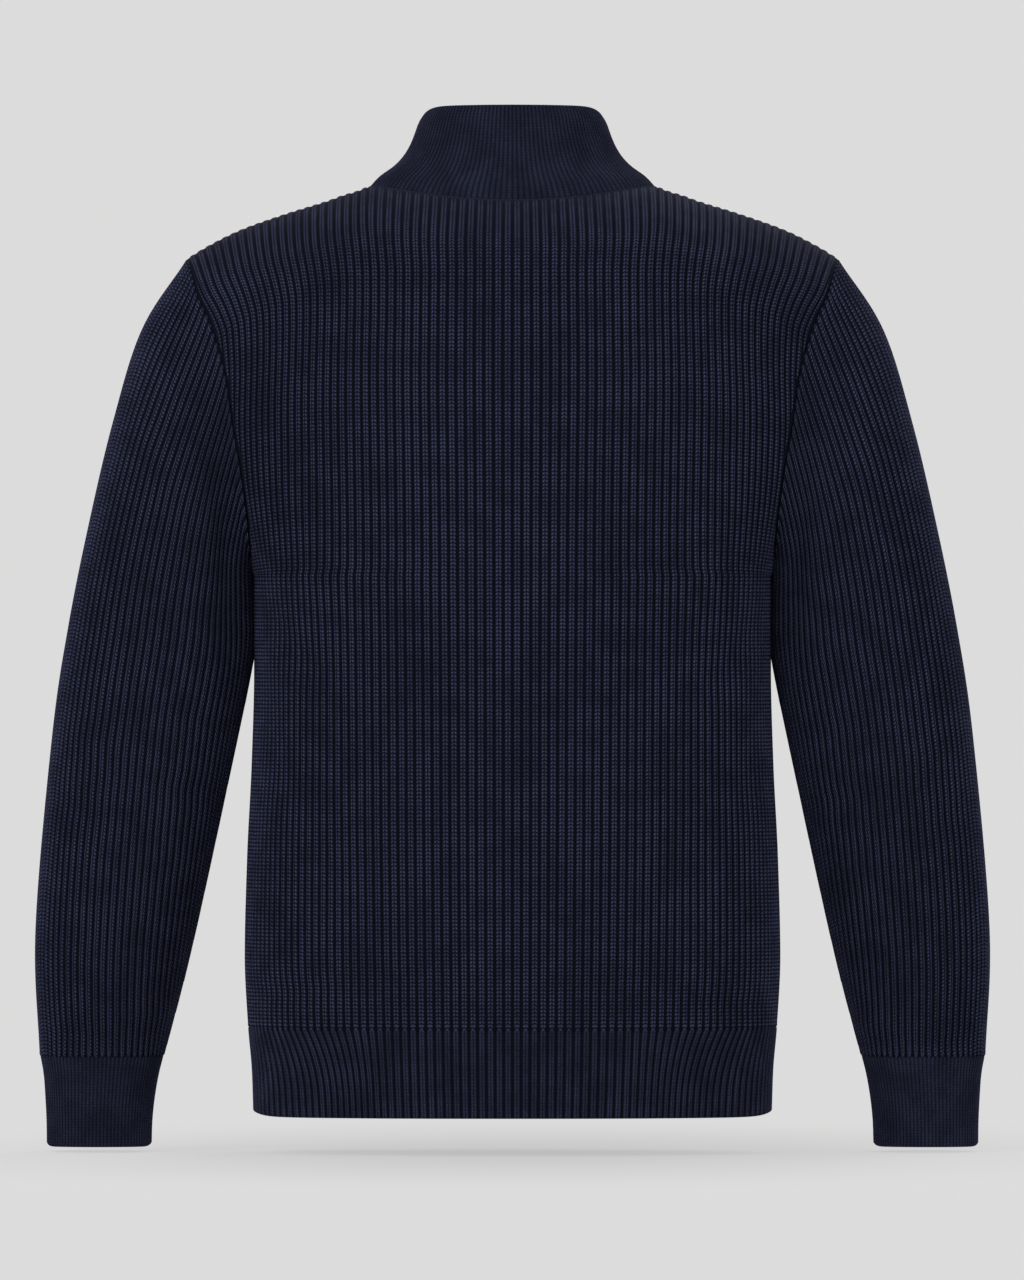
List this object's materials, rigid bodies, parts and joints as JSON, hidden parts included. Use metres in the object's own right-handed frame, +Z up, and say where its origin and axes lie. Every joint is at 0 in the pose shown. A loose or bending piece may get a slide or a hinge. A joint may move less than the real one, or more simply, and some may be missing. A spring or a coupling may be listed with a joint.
{
  "type": "zip-up rib-knit sweater",
  "caption": "Zip-up rib-knit sweater with a fine-rib stand collar, set-in sleeves, rib cuffs and hem band, in its worn shape, zipped to the top.",
  "frame": {"origin": "middle of the neck base, level with the shoulder-neck points, where the wearer's shoulders hold the garment", "axes": "+Z up, the front and the zip face -Y, the wearer's left is +X"},
  "size_m": [0.7168, 0.2559, 0.7829],
  "materials": {
    "rib_cotton": "matt washed navy rib-knit cotton",
    "zip_tape": "matt woven navy tape",
    "zip_metal": "dark gunmetal, satin"
  },
  "bodies": {
    "garment": {"back": "rib_cotton", "front_left": "rib_cotton", "front_right": "rib_cotton", "sleeve_left": "rib_cotton", "sleeve_right": "rib_cotton", "collar": "rib_cotton", "cuff_left": "rib_cotton", "cuff_right": "rib_cotton", "hem_band": "rib_cotton", "zip_tape_left": "zip_tape", "zip_tape_right": "zip_tape", "zip_chain": "zip_metal", "zip_slider": "zip_metal", "zip_stop_left": "zip_metal", "zip_stop_right": "zip_metal", "zip_box": "zip_metal"},
    "pull": {"zip_pull": "zip_metal"}
  },
  "joints": [
    {"name": "pull_hinge", "type": "hinge", "parent": "garment", "child": "pull", "pos_m": [0, -0.08467, -0.00495], "axis": [-1, 0, 0], "range_deg": [0, 170]}
  ]
}
